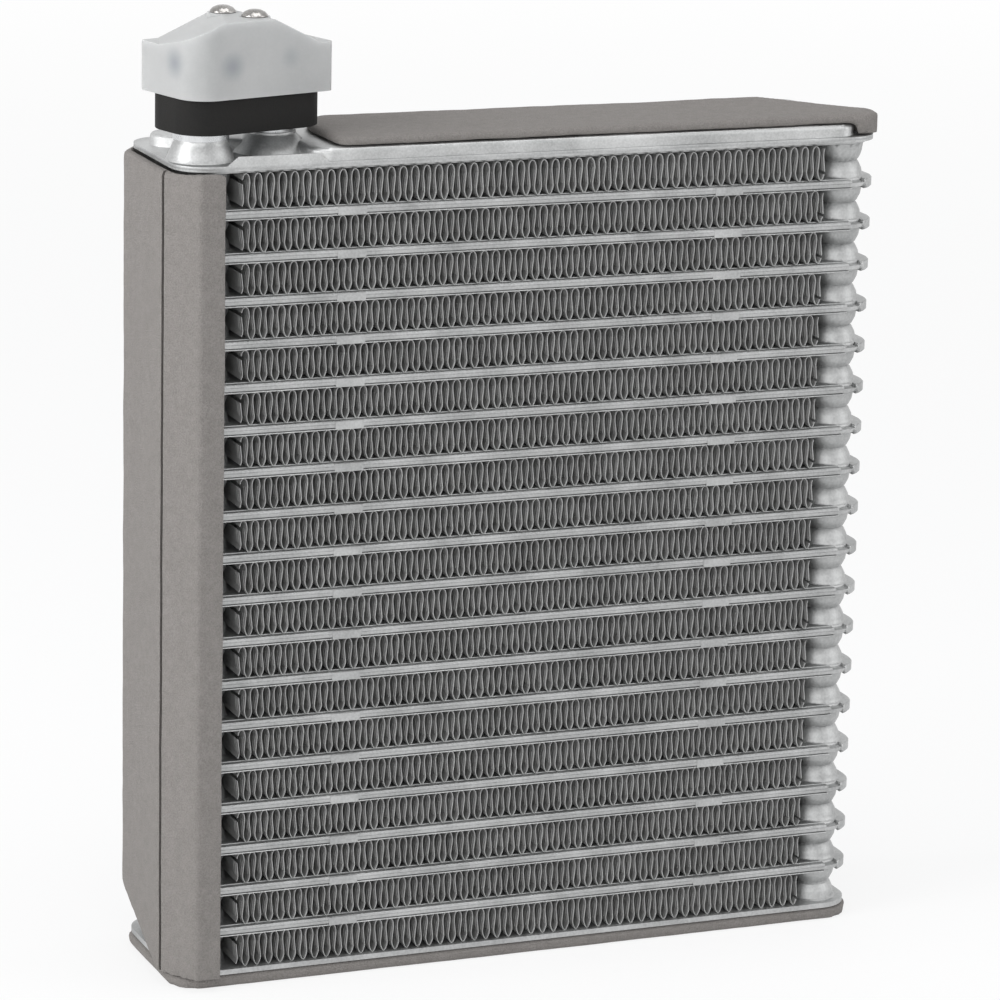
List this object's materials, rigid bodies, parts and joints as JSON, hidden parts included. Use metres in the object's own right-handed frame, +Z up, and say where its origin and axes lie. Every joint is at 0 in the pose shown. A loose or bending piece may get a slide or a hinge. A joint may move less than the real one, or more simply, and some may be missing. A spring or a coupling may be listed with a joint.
{
  "type": "evaporator core",
  "caption": "Brazed aluminium evaporator core with cup tanks at both ends, corrugated fins, foam seals and a pipe joint block under a frosted transport cap.",
  "frame": {"origin": "centre of the underside of the bottom pad, on the surface that it stands on", "axes": "+X from the piped tank to the bare tank along the tubes, +Y from the front face through the core, +Z up along the stack of tubes"},
  "size_m": [0.2055, 0.0552, 0.2635],
  "materials": {
    "tubes": "rough",
    "fins": "satin",
    "plates": "satin",
    "block": "satin",
    "seal": "matte",
    "cap": "satin",
    "screws": "polished",
    "foam": "matte"
  },
  "bodies": {
    "root": {"tube_01": "tubes", "tube_02": "tubes", "tube_03": "tubes", "tube_04": "tubes", "tube_05": "tubes", "tube_06": "tubes", "tube_07": "tubes", "tube_08": "tubes", "tube_09": "tubes", "tube_10": "tubes", "tube_11": "tubes", "tube_12": "tubes", "tube_13": "tubes", "tube_14": "tubes", "tube_15": "tubes", "tube_16": "tubes", "tube_17": "tubes", "tube_18": "tubes", "fin_01": "fins", "fin_02": "fins", "fin_03": "fins", "fin_04": "fins", "fin_05": "fins", "fin_06": "fins", "fin_07": "fins", "fin_08": "fins", "fin_09": "fins", "fin_10": "fins", "fin_11": "fins", "fin_12": "fins", "fin_13": "fins", "fin_14": "fins", "fin_15": "fins", "fin_16": "fins", "fin_17": "fins", "fin_18": "fins", "fin_19": "fins", "top_plate": "plates", "passage_cover": "plates", "bottom_plate": "plates", "end_sheet": "plates", "suction_tube": "block", "liquid_tube": "block", "joint_block": "block", "gasket": "seal", "transport_cap": "cap", "cap_screws": "screws", "tank_foam": "foam", "top_foam": "foam", "bottom_foam": "foam"}
  },
  "joints": []
}
